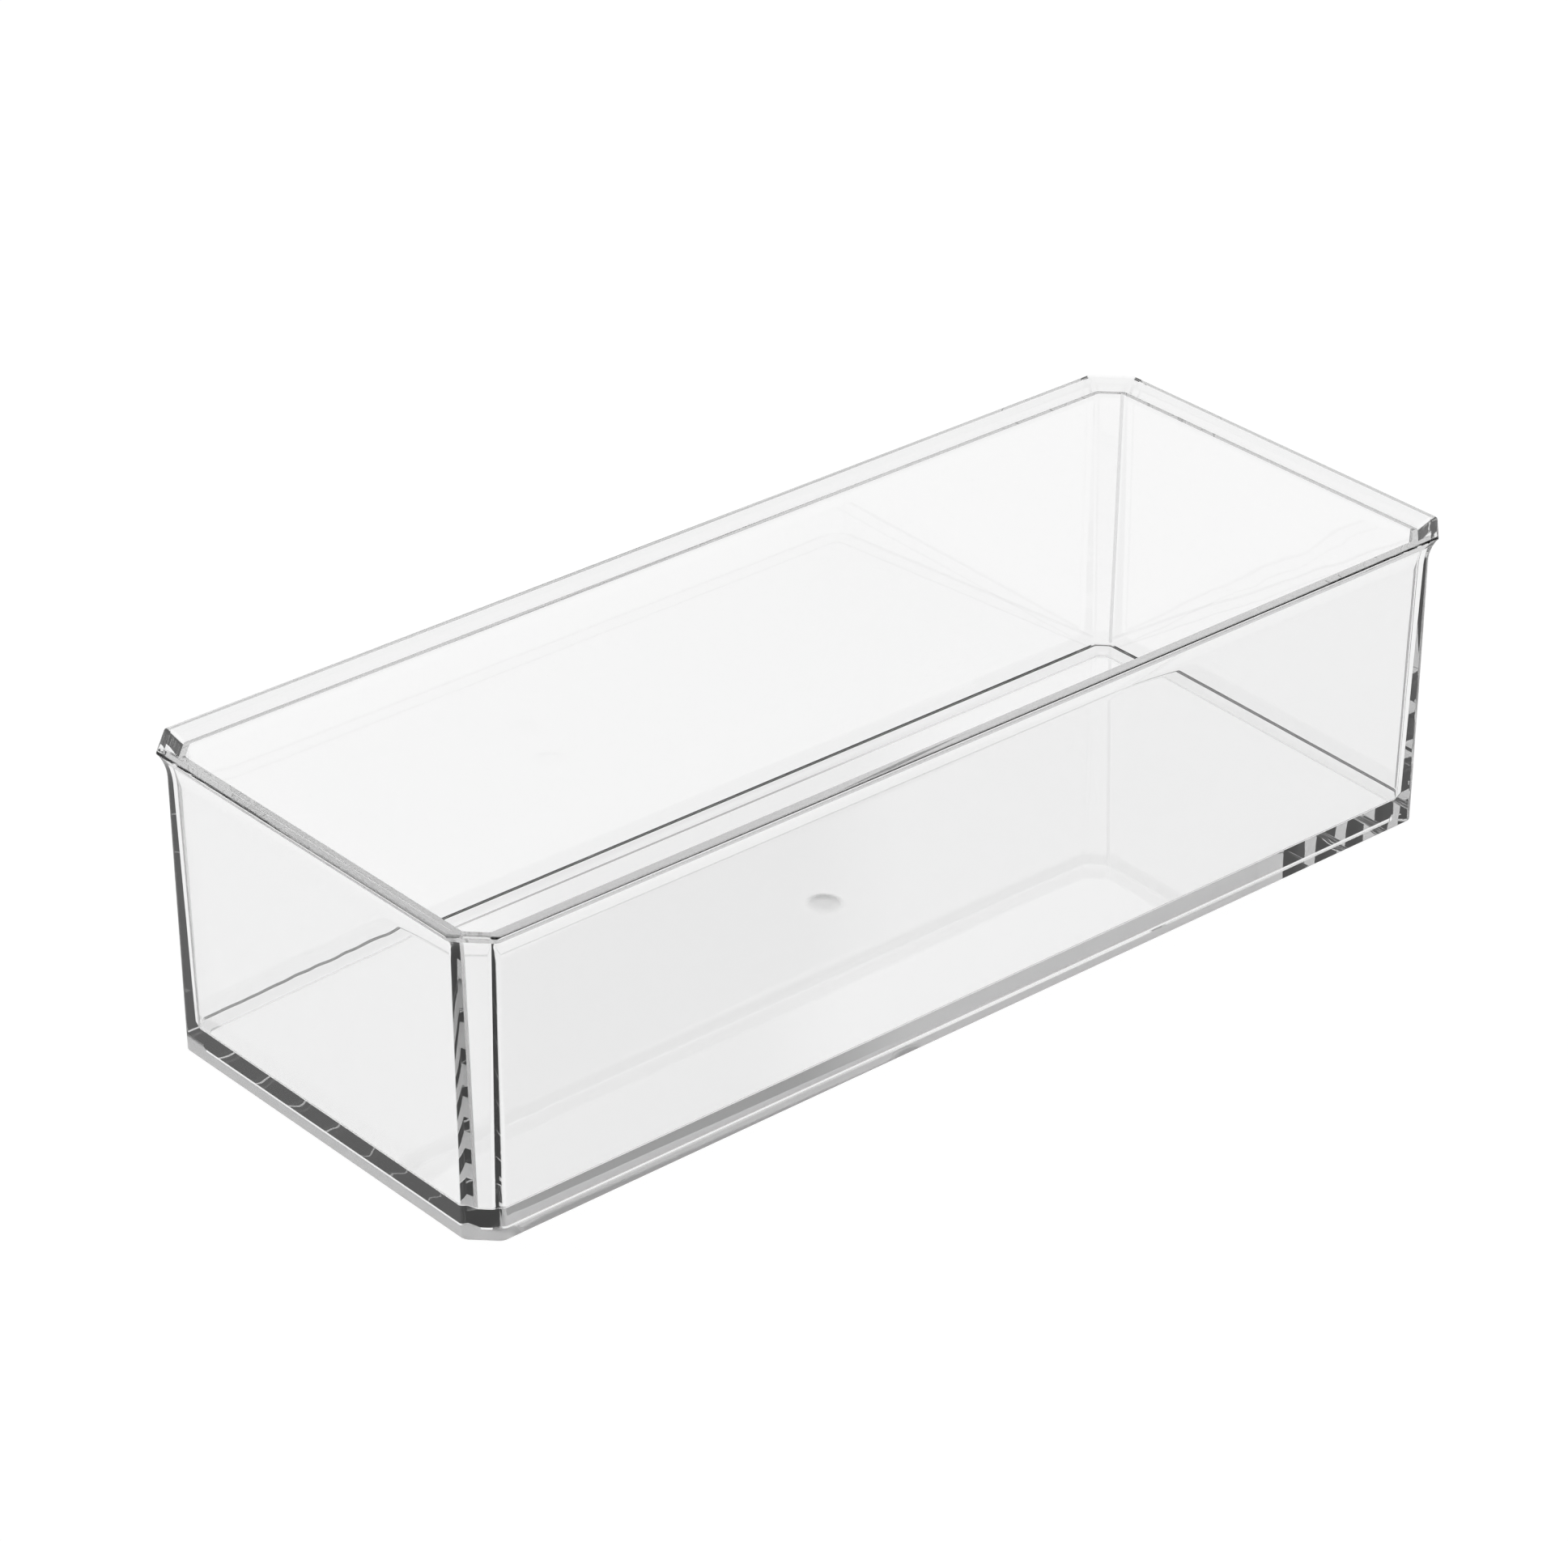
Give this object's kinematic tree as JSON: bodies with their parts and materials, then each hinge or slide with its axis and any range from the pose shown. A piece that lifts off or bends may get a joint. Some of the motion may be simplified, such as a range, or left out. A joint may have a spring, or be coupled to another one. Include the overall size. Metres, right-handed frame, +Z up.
{
  "type": "tea bag organizer tray",
  "caption": "Clear rigid open-top rectangular tray with clipped corners, thick walls and a flared rim, for keeping a row of tea bag envelopes on a shelf or in a drawer.",
  "frame": {"origin": "centre of the foot ring's bottom plane, where the tray stands", "axes": "+X along the tray's length, +Y across its width, +Z up through the open top"},
  "size_m": [0.23, 0.0926, 0.06],
  "materials": {
    "clear_plastic": "clear, colourless, polished"
  },
  "bodies": {
    "root": {"tray": "clear_plastic"}
  },
  "joints": []
}
